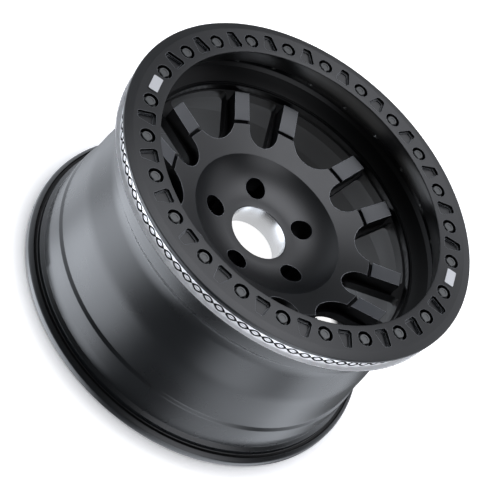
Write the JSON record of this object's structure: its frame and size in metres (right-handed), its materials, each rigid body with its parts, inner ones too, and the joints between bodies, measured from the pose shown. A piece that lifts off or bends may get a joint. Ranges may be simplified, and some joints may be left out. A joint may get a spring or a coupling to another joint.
{
  "type": "beadlock car wheel",
  "caption": "Deep alloy off-road car wheel with spokes in pairs and a bolted clamp ring over the front rim.",
  "frame": {"origin": "centre of the hub's mounting face", "axes": "+Z along the axle, out of the wheel's front; +X through a lug hole, which is also the middle of a spoke pair"},
  "size_m": [0.4711, 0.4712, 0.2595],
  "materials": {
    "wheel_body": "satin black powder coat, with the centre bore and the band under the ring machined bright",
    "ring_body": "satin black powder coat, with the band at its lower edge machined bright",
    "bolt_steel": "black zinc, slightly worn on the corners",
    "badge_plate": "blank polished plate"
  },
  "bodies": {
    "root": {"wheel": "wheel_body", "clamp_ring": "ring_body", "bolt_1": "bolt_steel", "bolt_2": "bolt_steel", "bolt_3": "bolt_steel", "bolt_4": "bolt_steel", "bolt_5": "bolt_steel", "bolt_6": "bolt_steel", "bolt_7": "bolt_steel", "bolt_8": "bolt_steel", "bolt_9": "bolt_steel", "bolt_10": "bolt_steel", "bolt_11": "bolt_steel", "bolt_12": "bolt_steel", "bolt_13": "bolt_steel", "bolt_14": "bolt_steel", "bolt_15": "bolt_steel", "bolt_16": "bolt_steel", "bolt_17": "bolt_steel", "bolt_18": "bolt_steel", "bolt_19": "bolt_steel", "bolt_20": "bolt_steel", "bolt_21": "bolt_steel", "bolt_22": "bolt_steel", "bolt_23": "bolt_steel", "bolt_24": "bolt_steel", "badge_1": "badge_plate", "badge_2": "badge_plate"}
  },
  "joints": []
}
